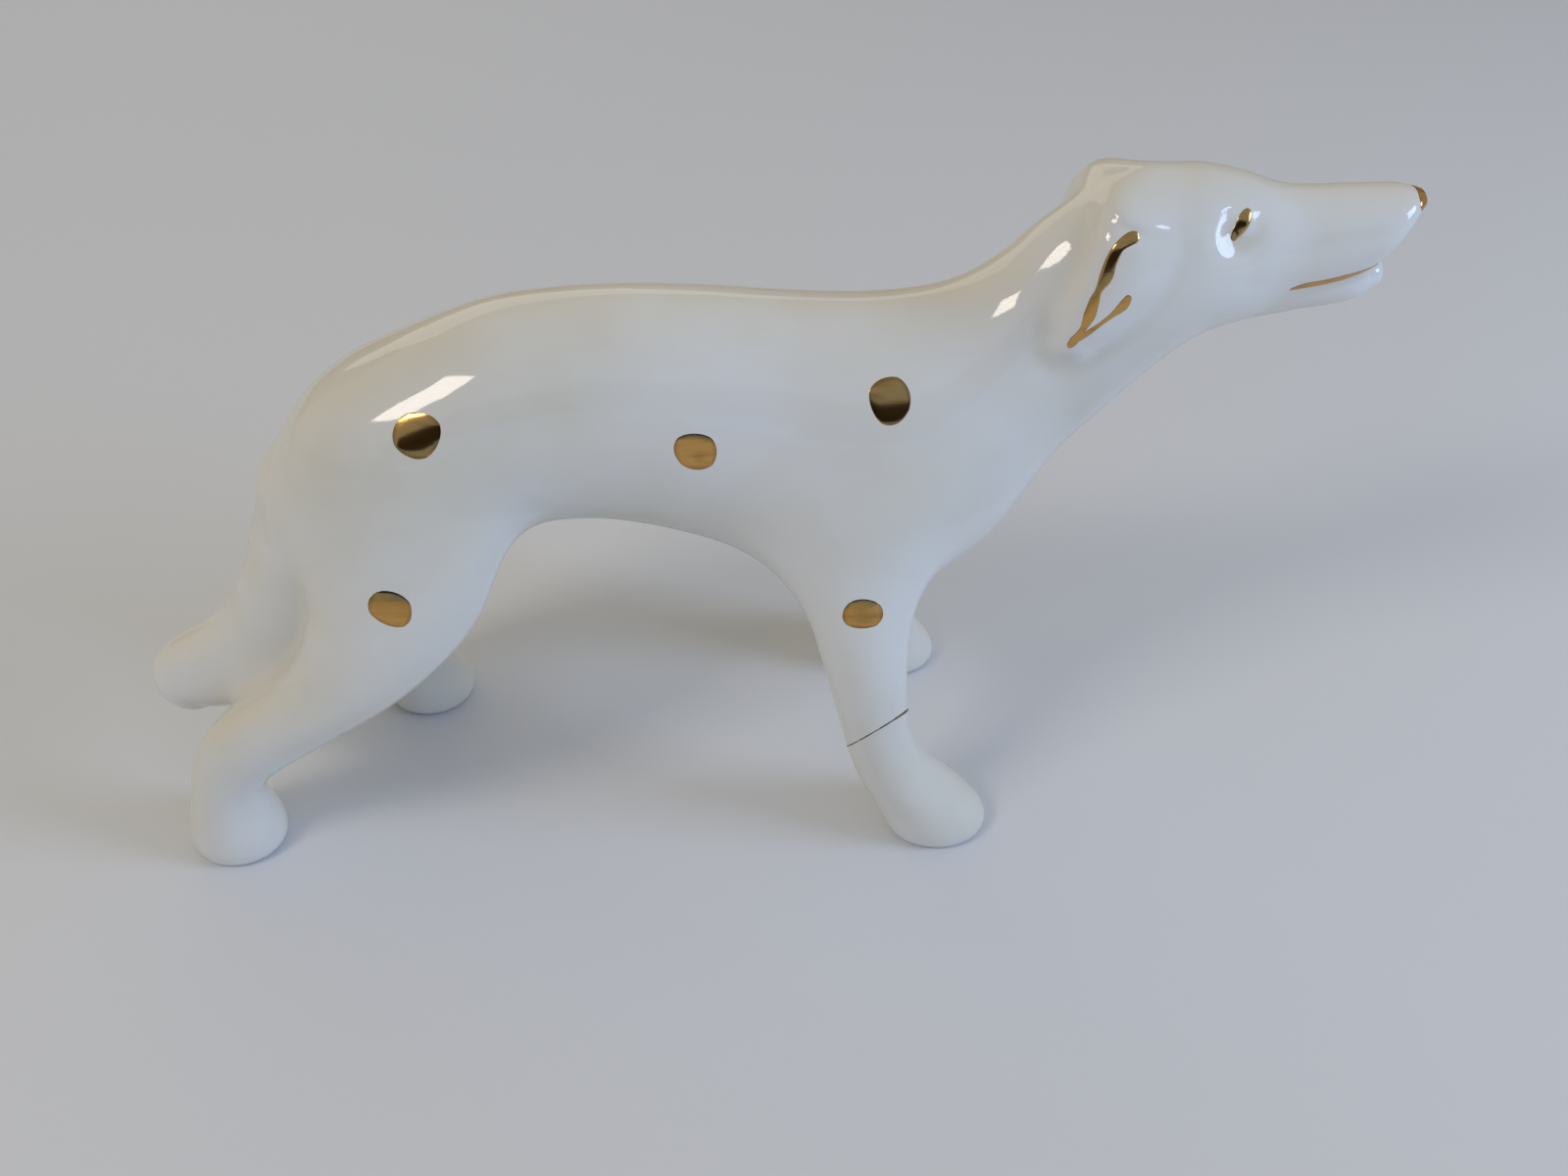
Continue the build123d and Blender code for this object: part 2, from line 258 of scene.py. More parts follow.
@dataclass
class Limb:
    """A roll of clay: elliptical sections carried along a curved middle line, with rounded ends."""

    stations: tuple[Station, ...]
    facing: Facing
    fillet: float
    root_y: float = 0.0
    end_y: float = 0.0
    stagger: float = 0.0
    root_round: float = 4.0
    end_round: float = 5.0
    steps: int = 16
    spacing: float = 0.1
    fairing: float = 1.0
    rows: Array = field(init=False, repr=False)
    box: Array = field(init=False, repr=False)

    def __post_init__(self) -> None:
        """Work out the faired sections, at even spacing along the limb, and the box that they act in."""
        curve = through(np.array(self.stations), self.steps)
        x = curve[:, 0] - self.stagger * curve[:, 4]
        z = curve[:, 1]
        across = self.root_y + (self.end_y - self.root_y) * curve[:, 4]
        middle = np.stack((x, np.zeros_like(x), z), axis=1)
        along = middle @ self.facing.along
        deep = middle @ self.facing.deep
        even = np.arange(along[0], along[-1], self.spacing)
        values = [np.interp(even, along, v) for v in (deep, across, curve[:, 2] / 2, curve[:, 3] / 2)]
        faired = [self.smoothed(v) for v in values]
        slopes = [np.gradient(v, self.spacing) for v in faired]
        self.rows = np.stack((even, *faired, *slopes), axis=1)
        reach = max(curve[:, 2].max(), curve[:, 3].max()) / 2
        centre = middle + np.stack((0 * across, across, 0 * across), axis=1)
        margin = reach + self.fillet + SKIN_BAND
        self.box = np.array((centre.min(axis=0) - margin, centre.max(axis=0) + margin))

    def near(self, points: Array) -> Array:
        """Which points lie in the box that the limb acts in."""
        return np.all((points > self.box[0]) & (points < self.box[1]), axis=1)

    def smoothed(self, values: Array) -> Array:
        """Fair a row of sizes by a running mean weighted with a bell curve, out to three of its widths.

        Args:
            values: sizes at even spacing.

        Returns:
            The faired sizes, as many.
        """
        reach = int(3 * self.fairing / self.spacing)
        weights = np.exp(-0.5 * (np.arange(-reach, reach + 1) * self.spacing / self.fairing) ** 2)
        longer = np.pad(values, reach, mode="reflect", reflect_type="odd")
        return np.convolve(longer, weights / weights.sum(), mode="valid")

    def distance(self, points: Array) -> Array:
        """Distance from the limb's surface: the elliptical radius less one, over the length of its slope
        where the way out from the middle line meets the surface. Past an end the radius takes in the way past
        it, which makes the end half an ellipsoid.

        Args:
            points: rows of x, y and z.

        Returns:
            Distances, negative inside.
        """
        along = points @ self.facing.along
        held = np.clip(along, self.rows[0, 0], self.rows[-1, 0] - TINY)
        past = along - held
        place = (held - self.rows[0, 0]) / self.spacing
        low = np.clip(place.astype(int), 0, len(self.rows) - 2)
        share = (place - low)[:, None]
        row = self.rows[low] * (1.0 - share) + self.rows[low + 1] * share
        tip = np.where(past < 0.0, self.root_round, self.end_round)
        row[:, 5:] *= np.clip(1.0 - np.abs(past) / tip, 0.0, 1.0)[:, None]
        _, middle, across, half_deep, half_wide, middle_rise, across_rise, deep_rise, wide_rise = row.T
        deep = (points @ self.facing.deep - middle) / half_deep
        wide = (points[:, 1] - across) / half_wide
        radius = np.sqrt(deep**2 + wide**2 + (past / tip) ** 2) + TINY
        deep, wide, past = deep / radius, wide / radius, past / radius
        rise = past / tip**2
        rise -= deep * (middle_rise + deep * deep_rise) / half_deep
        rise -= wide * (across_rise + wide * wide_rise) / half_wide
        slope = np.sqrt((deep / half_deep) ** 2 + (wide / half_wide) ** 2 + rise**2)
        return (radius - 1.0) / (slope + TINY)


@dataclass
class Hound:
    """The clay body under its glaze, as one smooth skin over the luted limbs."""

    # Stations are given by x, z, depth and width, and where it isn't zero the share of the way outwards
    # Trunk and head in upright sections, from the rump to the nose
    back: tuple[Station, ...] = (
        Station(-59.4, 52.0, 5.0, 8.0),
        Station(-57.4, 53.0, 11.2, 14.4),
        Station(-54.0, 54.0, 17.8, 19.3),
        Station(-48.0, 55.8, 23.9, 24.1),
        Station(-40.0, 58.0, 27.8, 26.3),
        Station(-30.0, 60.4, 30.2, 26.0),
        Station(-18.0, 61.1, 31.4, 24.6),
        Station(-6.0, 59.2, 34.4, 25.6),
        Station(6.0, 55.6, 39.2, 26.6),
        Station(17.0, 53.4, 42.4, 26.8),
        Station(26.0, 54.9, 41.8, 25.0),
        Station(32.0, 58.9, 40.9, 22.0),
    )
    head: tuple[Station, ...] = (
        Station(36.0, 63.8, 39.6, 19.2),
        Station(40.0, 69.0, 35.6, 17.4),
        Station(44.0, 72.7, 33.0, 17.8),
        Station(48.0, 76.1, 29.8, 18.6),
        Station(52.0, 78.3, 25.3, 18.6),
        Station(56.0, 79.9, 21.9, 17.6),
        Station(61.0, 80.3, 18.7, 15.3),
        Station(66.0, 80.6, 14.6, 12.4),
        Station(72.0, 81.4, 12.6, 11.2),
        Station(77.0, 82.6, 10.1, 10.2),
        Station(80.0, 84.5, 6.2, 8.0),
        Station(82.2, 86.0, 1.8, 3.2),
    )
    jaw: tuple[Station, ...] = (
        Station(54.0, 75.0, 12.4, 11.4),
        Station(60.0, 75.6, 10.8, 10.0),
        Station(68.0, 76.0, 8.6, 8.8),
        Station(75.0, 76.0, 6.6, 7.2),
        Station(78.2, 76.3, 4.0, 4.6),
    )
    # Legs in level sections, from the root inside the trunk to the flat sole
    foreleg: tuple[Station, ...] = (
        Station(13.0, 60.0, 12.0, 8.0),
        Station(13.2, 52.0, 16.0, 10.6, out=0.29),
        Station(13.5, 44.0, 16.8, 11.8, out=0.51),
        Station(14.5, 36.0, 13.3, 11.6, out=0.74),
        Station(15.5, 27.0, 10.4, 10.2, out=0.93),
        Station(17.0, 18.0, 9.3, 9.4, out=0.99),
        Station(19.3, 12.0, 10.5, 9.8, out=1.0),
        Station(22.8, 7.0, 13.2, 11.4, out=1.0),
        Station(25.4, 2.5, 14.6, 12.4, out=1.0),
        Station(25.9, 0.0, 13.6, 11.4, out=1.0),
    )
    right_hind_leg: tuple[Station, ...] = (
        Station(-43.0, 60.0, 12.0, 8.0),
        Station(-43.0, 54.0, 18.0, 10.4, out=0.35),
        Station(-42.7, 48.0, 23.4, 13.8, out=0.59),
        Station(-45.3, 38.0, 21.3, 13.6, out=0.87),
        Station(-52.2, 29.0, 17.7, 11.8, out=1.04),
        Station(-63.3, 21.0, 17.8, 10.5, out=1.04),
        Station(-69.8, 14.5, 11.6, 9.5, out=1.02),
        Station(-71.9, 9.5, 10.2, 10.0, out=1.01),
        Station(-71.9, 4.5, 12.7, 12.1, out=1.0),
        Station(-71.9, 2.0, 13.3, 12.7, out=1.0),
        Station(-71.8, 0.0, 12.2, 11.6, out=1.0),
    )
    left_hind_leg: tuple[Station, ...] = (
        Station(-43.0, 60.0, 12.0, 8.0),
        Station(-42.8, 54.0, 17.6, 10.4, out=0.35),
        Station(-42.6, 48.0, 21.4, 13.8, out=0.59),
        Station(-43.2, 38.0, 18.8, 13.4, out=0.87),
        Station(-46.2, 29.0, 15.0, 11.6, out=1.0),
        Station(-50.3, 21.0, 11.7, 10.2, out=1.0),
        Station(-52.0, 14.5, 9.6, 9.4, out=1.0),
        Station(-50.6, 9.5, 11.0, 10.1, out=1.0),
        Station(-48.2, 4.5, 13.2, 12.3, out=1.0),
        Station(-47.8, 2.0, 13.4, 12.7, out=1.0),
        Station(-47.7, 0.0, 12.2, 11.6, out=1.0),
    )
    # Tail in slanting sections, down the rump and kicked back to its blunt tip
    tail: tuple[Station, ...] = (
        Station(-51.0, 56.5, 8.0, 12.0),
        Station(-58.2, 43.6, 12.4, 17.0),
        Station(-61.6, 34.2, 13.4, 17.0),
        Station(-65.6, 26.6, 13.0, 15.2),
        Station(-70.3, 22.2, 12.8, 13.6),
        Station(-75.4, 19.6, 12.2, 12.2),
        Station(-78.0, 18.4, 10.4, 10.6),
    )
    # Ear flap in sections square to it, from its root on the crown to its tip on the neck
    ear: tuple[Station, ...] = (
        Station(45.6, 87.2, 5.6, 4.8),
        Station(45.1, 85.0, 7.4, 4.9, out=0.45),
        Station(44.0, 81.0, 7.1, 4.3, out=0.8),
        Station(41.5, 76.4, 5.5, 3.3, out=0.95),
        Station(39.6, 73.2, 2.4, 1.8, out=1.0),
    )
    # Stance, and how far in the middles of the stuck-on roots lie
    fore_root_y: float = 4.0
    fore_paw_y: float = 17.8
    fore_stagger: float = 2.6
    hind_root_y: float = 4.0
    hind_paw_y: float = 14.2
    ear_root_y: float = 5.2
    ear_tip_y: float = 9.0
    # How far the clay is smoothed in where one roll meets another
    fore_fillet: float = 9.0
    hind_fillet: float = 8.0
    tail_fillet: float = 6.0
    jaw_fillet: float = 0.9
    ear_fillet: float = 4.0
    sole_round: float = 1.2
    # Kiln vent, a blind hole under the waist
    vent_x: float = -18.0
    vent_diameter: float = 4.0
    vent_top: float = 48.8
    vent_round: float = 0.8
    # Filling between the ears, eye socket, eyeball, hollow of the cheek, and the point of the shoulder
    presses: tuple[Press, ...] = (
        Press(44.4, 1.5, 88.8, reach=(3.6, 4.4, 3.2), height=0.9),
        Press(58.9, 7.0, 85.5, reach=(3.1, 4.0, 2.8), height=-1.5),
        Press(59.3, 7.0, 86.2, reach=(1.5, 4.0, 1.7), height=0.8),
        Press(61.0, 7.5, 79.6, reach=(3.4, 4.0, 2.2), height=-0.35),
        Press(22.0, 12.5, 57.0, reach=(8.0, 7.0, 13.0), height=0.7),
    )
    trunk: Limb = field(init=False, repr=False)
    limbs: dict[str, Limb] = field(init=False, repr=False)

    def __post_init__(self) -> None:
        """Set out the trunk and head as one roll, and the rolls that are stuck to it."""
        leg, down, fore, hind = Facing.DOWN_LEG, Facing.DOWN_EAR, self.fore_fillet, self.hind_fillet
        self.trunk = Limb(self.back + self.head, Facing.ALONG_BODY, 0.0, root_round=1.5, end_round=0.4)
        self.limbs = {
            "jaw": Limb(self.jaw, Facing.ALONG_BODY, self.jaw_fillet, end_round=1.2, fairing=0.6),
            "tail": Limb(self.tail, Facing.DOWN_TAIL, self.tail_fillet, end_round=4.0),
        }
        for side in Side:
            lag = self.fore_stagger if side is Side.LEFT else 0.0
            root, paw = side.value * self.fore_root_y, side.value * self.fore_paw_y
            self.limbs[f"{side.word}_foreleg"] = Limb(self.foreleg, leg, fore, root, paw, lag)
            stations = self.left_hind_leg if side is Side.LEFT else self.right_hind_leg
            root, paw = side.value * self.hind_root_y, side.value * self.hind_paw_y
            self.limbs[f"{side.word}_hind_leg"] = Limb(stations, leg, hind, root, paw, root_round=3.0)
            root, tip = side.value * self.ear_root_y, side.value * self.ear_tip_y
            self.limbs[f"{side.word}_ear"] = Limb(
                self.ear, down, self.ear_fillet, root, tip, root_round=1.5, end_round=1.0, fairing=0.6
            )

    def distance(self, points: Array) -> Array:
        """Distance from the glazed skin: the limbs melded in turn, the presses, the vent and the flat soles.

        Args:
            points: rows of x, y and z.

        Returns:
            Distances, negative inside.
        """
        joined = self.trunk.distance(points)
        for limb in self.limbs.values():
            near = limb.near(points)
            joined[near] = melded(joined[near], limb.distance(points[near]), limb.fillet)
        for press in self.presses:
            joined -= press.rise(points)
        off_axis = np.hypot(points[:, 0] - self.vent_x, points[:, 1]) - self.vent_diameter / 2
        vent = np.maximum(off_axis, points[:, 2] - self.vent_top)
        joined = -melded(-joined, vent, self.vent_round)
        return -melded(-joined, points[:, 2], self.sole_round)

    def slope(self, points: Array) -> Array:
        """Outward slope of the distance, by differences across a small step.

        Args:
            points: rows of x, y and z.

        Returns:
            Rows of the slope along X, Y and Z.
        """
        steps = np.eye(3) * SLOPE_STEP
        rises = [self.distance(points + step) - self.distance(points - step) for step in steps]
        return np.stack(rises, axis=1) / (2 * SLOPE_STEP)

    def outward(self, points: Array) -> Array:
        """Unit vectors out of the skin at points on it."""
        slope = self.slope(points)
        return slope / np.linalg.norm(slope, axis=1, keepdims=True)

    def settled(self, points: Array, rounds: int = 2) -> Array:
        """Move points onto the skin along the slope, by the distance over the slope's length.

        Args:
            points: rows of x, y and z near the skin.
            rounds: how often.

        Returns:
            The moved points.
        """
        for _ in range(rounds):
            slope = self.slope(points)
            share = self.distance(points) / np.sum(slope**2, axis=1)
            points = points - share[:, None] * slope
        return points

    def met(self, starts: Array, inward: Array, rounds: int = 60) -> Array:
        """Follow rays from outside to the skin, each step a share of the distance left.

        Args:
            starts: rows of points outside.
            inward: unit vectors, one for each.
            rounds: how many steps.

        Returns:
            Where the rays meet the skin.
        """
        points = starts.copy()
        for _ in range(rounds):
            points = points + STEP_DOWN * self.distance(points)[:, None] * inward
        return points

    def pooled(self, points: Array) -> Array:
        """How much glaze gathers: the hollowness of the skin, from the distances a step away on six sides.

        Args:
            points: rows of x, y and z on the skin.

        Returns:
            One value for each point: above zero in hollows, below on ridges.
        """
        steps = np.vstack((np.eye(3), -np.eye(3))) * POOL_STEP
        around = sum(self.distance(points + step) for step in steps) - len(steps) * self.distance(points)
        return -around / POOL_STEP**2

    def skin(self) -> tuple[Array, Array]:
        """Mesh the skin: a grid of distances, worked out finely near the skin only, and a net drawn round it.

        Returns:
            Points in millimetres and quads by number.
        """
        low, high = (np.array(c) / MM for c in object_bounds())
        low = low - SKIN_MARGIN
        pitch = SKIN_PITCH * COARSE
        counts = np.ceil((high + SKIN_MARGIN - low) / pitch).astype(int) + 1
        coarse = np.stack(np.meshgrid(*(np.arange(n) * pitch for n in counts), indexing="ij"), axis=-1) + low
        values = self.distance(coarse.reshape(-1, 3)).reshape(counts)
        for axis in range(3):
            values = np.repeat(values, COARSE, axis=axis)
        near = np.argwhere(np.abs(values) < SKIN_BAND)
        places = low + near * SKIN_PITCH
        values[tuple(near.T)] = self.distance(places)
        points, quads = net(values, low, SKIN_PITCH)
        for _ in range(RELAX_ROUNDS):
            points = self.settled(evened(points, quads), rounds=1)
        return self.settled(points), quads


def net(values: Array, low: Array, pitch: float) -> tuple[Array, Array]:
    """Close a net of quads round the part of a grid whose values are negative.

    A cell of the grid that the surface crosses gets one point, the mean of the crossings on its edges. An
    edge of the grid that the surface crosses gets one quad, through the points of the four cells round it.

    Args:
        values: distances at the grid's nodes.
        low: the grid's first node.
        pitch: distance between nodes.

    Returns:
        Points, and quads by number that face away from the negative part.
    """
    inside = values < 0.0
    cells = np.array(values.shape) - 1
    shifts = product((0, 1), repeat=3)
    corners = [inside[tuple(slice(c, c + n) for c, n in zip(shift, cells))] for shift in shifts]
    filled = np.sum(corners, axis=0)
    crossed = (filled > 0) & (filled < len(corners))
    cell = np.argwhere(crossed)
    number = np.full(cells, -1)
    number[crossed] = np.arange(len(cell))
    total = np.zeros(cell.shape)
    hits = np.zeros((len(cell), 1))
    unit = np.eye(3, dtype=int)
    for axis, first, second in product(range(3), (0, 1), (0, 1)):
        start = first * unit[axis - 2] + second * unit[axis - 1]
        here = values[tuple((cell + start).T)]
        there = values[tuple((cell + start + unit[axis]).T)]
        cut = ((here < 0.0) != (there < 0.0))[:, None]
        share = (here / np.where(here == there, 1.0, here - there))[:, None]
        total += np.where(cut, start + share * unit[axis], 0.0)
        hits += cut
    points = low + pitch * (cell + total / hits)
    quads = []
    for axis in range(3):
        edge = np.argwhere(np.diff(inside, axis=axis))
        back, down = unit[axis - 2], unit[axis - 1]
        round_edge = (edge - back - down, edge - down, edge, edge - back)
        ring = np.stack([number[tuple(c.T)] for c in round_edge], axis=1)
        outward = inside[tuple(edge.T)][:, None]
        quads.append(np.where(outward, ring, ring[:, ::-1]))
    return points, np.vstack(quads)


def evened(points: Array, quads: Array) -> Array:
    """Move each point half way to the mean of the points that share an edge with it.

    Args:
        points: the points of a closed net.
        quads: its quads by number.

    Returns:
        The moved points.
    """
    ends = np.concatenate([quads, np.roll(quads, 1, axis=1)]).ravel()
    others = np.concatenate([np.roll(quads, 1, axis=1), quads]).ravel()
    count = np.bincount(ends, minlength=len(points))
    sums = [np.bincount(ends, weights=points[others, axis], minlength=len(points)) for axis in range(3)]
    return (points + np.stack(sums, axis=1) / count[:, None]) / 2


def new_piece(name: str, points: Array, faces: Array, attributes: dict[str, Array] | None = None) -> Piece:
    """Put a mesh into the scene, shaded smooth.

    Args:
        name: the piece's name.
        points: rows of x, y and z in millimetres.
        faces: rows of point numbers.
        attributes: values for each point, by name.

    Returns:
        The new object, at the origin.
    """
    mesh = bpy.data.meshes.new(name)
    mesh.from_pydata((points * MM).tolist(), [], faces.tolist())
    for label, values in (attributes or {}).items():
        mesh.attributes.new(label, "FLOAT", "POINT").data.foreach_set("value", values.astype(np.float32))
    mesh.polygons.foreach_set("use_smooth", np.ones(len(mesh.polygons), dtype=bool))
    mesh.update()
    mesh.validate()
    piece = bpy.data.objects.new(name, mesh)
    bpy.context.scene.collection.objects.link(piece)
    return piece


def linked(piece: Piece, slot: str, finish: Material, *nodes: str) -> None:
    """Give a piece its finish and its place in the frame.

    Args:
        piece: the new piece.
        slot: the record's material slot; not used.
        finish: its material.
        nodes: the nodes that it stands for.
    """
    piece.data.materials.append(finish)
    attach(piece, BODY)
    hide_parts(*nodes)
    LOG.info("%s: %d points, stands for %s", piece.name, len(piece.data.vertices), ", ".join(nodes))


@dataclass
class Film:
    """A thin closed film on the skin: a grid of two parameters let down onto it and given a top and a bed."""

    hound: Hound
    height: float = 0.07
    rim_sink: float = 0.03
    bed_sink: float = 0.25
    rim_power: int = 6

    def mesh(self, starts: Array, inward: Array, edge: Array, wrap: bool = False) -> Meshed:
        """Let a grid down onto the skin and close it.

        The top stands over the skin by the height, less a power of the nearness to the rim. The bed lies
        under the skin, and shares the rim's points with the top.

        Args:
            starts: points outside the skin, on a grid.
            inward: unit vectors, one for each.
            edge: nearness to the rim, from 0 in the middle to 1 on it.
            wrap: whether the grid's first parameter closes on itself, with rims at the ends of the other.

        Returns:
            Points, quads, and each point's nearness to the rim.
        """
        rows, columns = edge.shape
        on_skin = self.hound.settled(self.hound.met(starts.reshape(-1, 3), inward.reshape(-1, 3)))
        outward = self.hound.outward(on_skin)
        rise = (self.height + self.rim_sink) * (1.0 - edge.ravel() ** self.rim_power) - self.rim_sink
        top = on_skin + rise[:, None] * outward
        bed = on_skin - self.bed_sink * outward
        number = np.arange(rows * columns).reshape(rows, columns)
        rim = np.zeros((rows, columns), dtype=bool)
        rim[:, [0, -1]] = True
        if not wrap:
            rim[[0, -1], :] = True
        under = number + rows * columns
        under[rim] = number[rim]
        if wrap:
            number = np.vstack((number, number[:1]))
            under = np.vstack((under, under[:1]))
        upper = np.stack((number[:-1, :-1], number[1:, :-1], number[1:, 1:], number[:-1, 1:]), axis=-1)
        lower = np.stack((under[:-1, :-1], under[:-1, 1:], under[1:, 1:], under[1:, :-1]), axis=-1)
        # Where two rims meet, the top's corner is cut from the rim inwards, and the bed's from rim to rim
        for corner in ((0, -1), (-1, 0)):
            upper[corner] = np.roll(upper[corner], 1)
        points = np.vstack((top, bed))
        used, quads = np.unique(np.vstack((upper.reshape(-1, 4), lower.reshape(-1, 4))), return_inverse=True)
        near_rim = np.tile(edge.ravel(), 2)[used]
        return points[used], quads.reshape(-1, 4), near_rim


class Daub(NamedTuple):
    """A round touch of a loaded brush: its middle in side view, its diameters and its turn in degrees."""

    x: float
    z: float
    length: float
    height: float
    tilt: float = 0.0


class Touch(NamedTuple):
    """A point that a drag of the brush goes through: its place in side view, and the mark's width there."""

    x: float
    z: float
    width: float


@dataclass
class Gilding:
    """The gold, brushed on over the glaze: daubs on the body, and strokes for eyes, mouth, ears and nose."""

    daubs: dict[str, Daub] = field(
        default_factory=lambda: {
            "shoulder_spot": Daub(17.6, 67.1, length=5.3, height=6.0, tilt=20.0),
            "flank_spot": Daub(-6.0, 62.0, length=5.5, height=5.2),
            "haunch_spot": Daub(-39.0, 65.3, length=5.8, height=6.1, tilt=-20.0),
            "thigh_spot": Daub(-44.5, 44.1, length=6.0, height=4.7, tilt=-22.0),
            "forearm_spot": Daub(14.3, 40.1, length=5.3, height=4.4, tilt=-8.0),
        }
    )
    # How far the spots on the left legs lie ahead of those on the right
    left_ahead: dict[str, float] = field(default_factory=lambda: {"thigh_spot": 1.2, "forearm_spot": -1.6})
    eye: tuple[Touch, ...] = (
        Touch(59.6, 87.8, 1.0),
        Touch(59.0, 86.9, 1.7),
        Touch(58.5, 86.0, 1.6),
        Touch(58.0, 85.3, 1.3),
        Touch(57.6, 84.6, 0.7),
    )
    mouth: tuple[Touch, ...] = (
        Touch(66.2, 77.2, 0.4),
        Touch(68.0, 77.5, 1.0),
        Touch(70.6, 77.7, 1.1),
        Touch(73.4, 78.1, 1.1),
        Touch(75.8, 78.6, 0.9),
        Touch(77.4, 79.2, 0.4),
    )
    ear_long: tuple[Touch, ...] = (
        Touch(45.9, 86.8, 1.3),
        Touch(44.7, 86.5, 1.4),
        Touch(43.5, 85.7, 1.2),
        Touch(42.7, 84.2, 1.4),
        Touch(42.2, 82.4, 1.5),
        Touch(41.5, 80.8, 0.8),
        Touch(41.1, 79.4, 1.2),
        Touch(40.7, 77.6, 1.4),
        Touch(40.1, 75.8, 0.8),
        Touch(39.3, 74.2, 1.1),
        Touch(38.7, 73.2, 0.6),
    )
    ear_short: tuple[Touch, ...] = (
        Touch(45.1, 80.3, 0.9),
        Touch(44.5, 78.9, 1.5),
        Touch(43.3, 77.7, 0.8),
        Touch(42.1, 76.6, 0.6),
        Touch(40.6, 75.2, 0.8),
        Touch(39.6, 74.2, 0.5),
    )
    nose: Daub = Daub(82.0, 86.5, length=5.0, height=2.3)
    nose_faces: Xyz = (0.8, 0.0, 0.6)
    nose_phase: float = 0.6
    # Waves round a daub's edge, the turn of their start from daub to daub, and how far out a daub starts
    wobble: float = 0.045
    second_wave: float = 0.7
    phase_step: float = 1.7
    daub_clear: float = 10.0
    # How much of the half circle at a stroke's end is drawn
    blunt: float = 0.97
    # Points across a daub, between two touches of a stroke and across a stroke
    rounds: int = 33
    along: int = 12
    across: int = 11

    def daub(self, film: Film, daub: Daub, place: Array, out: Array, phase: float) -> Meshed:
        """Map a square grid onto an oval and let it down onto the skin.

        Each side of the square bulges out to the circle: x times the root of one less half y squared, and the
        same with x and y changed over. Two and three waves round the edge make it uneven.

        Args:
            film: the film to make.
            daub: its sizes.
            place: its middle on the skin.
            out: unit vector that the skin faces along there.
            phase: where the waves round its edge start.

        Returns:
            Points, quads and nearness to the rim.
        """
        even = np.linspace(-1.0, 1.0, self.rounds)
        a, b = np.meshgrid(even, even, indexing="ij")
        u = a * np.sqrt(1.0 - b**2 / 2)
        v = b * np.sqrt(1.0 - a**2 / 2)
        angle = np.arctan2(v, u) + phase
        waves = np.sin(2 * angle) + self.second_wave * np.sin(3 * angle + 1.0)
        uneven = 1.0 + self.wobble * waves * np.hypot(u, v)
        level = np.cross((0.0, 0.0, 1.0), out)
        level = level / np.linalg.norm(level)
        up = np.cross(out, level)
        turn = math.radians(daub.tilt) * np.sign(-out[1])
        long_way = math.cos(turn) * level + math.sin(turn) * up
        short_way = math.cos(turn) * up - math.sin(turn) * level
        length = (u * uneven * daub.length / 2)[..., None]
        height = (v * uneven * daub.height / 2)[..., None]
        starts = place + length * long_way + height * short_way + self.daub_clear * out
        return film.mesh(starts, np.broadcast_to(-out, starts.shape), np.maximum(np.abs(a), np.abs(b)))

    def stroke(self, film: Film, touches: tuple[Touch, ...], side: Side) -> Meshed:
        """Drag a brush along a curve in side view and let the mark down onto the skin.

        Across the curve the mark is as wide as its touches say. At the ends it closes in as a half circle:
        the width there times the root of one less the squared share of the way to the end.

        Args:
            film: the film to make.
            touches: what the curve goes through.
            side: the side of the dog.

        Returns:
            Points, quads and nearness to the rim.
        """
        curve = through(np.array(touches), self.along)
        ahead = np.gradient(curve[:, :2], axis=0)
        step = np.linalg.norm(ahead, axis=1, keepdims=True)
        aside = np.stack((-ahead[:, 1], ahead[:, 0]), axis=1) / step
        run = np.concatenate(([0.0], np.cumsum(np.linalg.norm(np.diff(curve[:, :2], axis=0), axis=1))))
        to_end = np.minimum(run, run[-1] - run)
        half = curve[:, 2] / 2
        close = np.clip(1.0 - to_end / half, 0.0, self.blunt)
        half = half * np.sqrt(1.0 - close**2)
        share = np.linspace(1.0, -1.0, self.across) * side.value
        places = curve[:, None, :2] + (half[:, None] * share)[..., None] * aside[:, None]
        clear = np.full(places.shape[:2], side.value * CLEAR_OF_SKIN)
        starts = np.stack((places[..., 0], clear, places[..., 1]), axis=-1)
        inward = np.broadcast_to((0.0, -float(side.value), 0.0), starts.shape)
        edge = np.maximum(np.abs(share)[None], close[:, None] / close.max())
        return film.mesh(starts, inward, edge)

    def build(self, hound: Hound) -> dict[str, Piece]:
        """Make every gold mark, by the name of the node that it stands for.

        Args:
            hound: the body that the gold lies on.

        Returns:
            The pieces by name.
        """
        film = Film(hound)
        meshed: dict[str, Meshed] = {}
        for number, (side, (name, daub)) in enumerate(product(Side, self.daubs.items())):
            x = daub.x + (self.left_ahead.get(name, 0.0) if side is Side.LEFT else 0.0)
            start = np.array([(x, side.value * CLEAR_OF_SKIN, daub.z)])
            place = hound.met(start, np.array([(0.0, -side.value, 0.0)]))
            out = hound.outward(place)[0]
            meshed[f"{side.word}_{name}"] = self.daub(film, daub, place[0], out, self.phase_step * number)
        for side in Side:
            meshed[f"{side.word}_eye_gilding"] = self.stroke(film, self.eye, side)
            meshed[f"{side.word}_mouth_gilding"] = self.stroke(film, self.mouth, side)
            points, quads, rim = self.stroke(film, self.ear_long, side)
            thinner = Film(hound, height=film.height / 2)
            more_points, more_quads, more_rim = self.stroke(thinner, self.ear_short, side)
            joined = np.vstack((points, more_points)), np.vstack((quads, more_quads + len(points)))
            meshed[f"{side.word}_ear_gilding"] = (*joined, np.concatenate((rim, more_rim)))
        place, out = np.array((self.nose.x, 0.0, self.nose.z)), np.array(self.nose_faces)
        meshed["nose_gilding"] = self.daub(film, self.nose, place, out, self.nose_phase)
        return {name: new_piece(f"gold_{name}", *made[:2], {"rim": made[2]}) for name, made in meshed.items()}


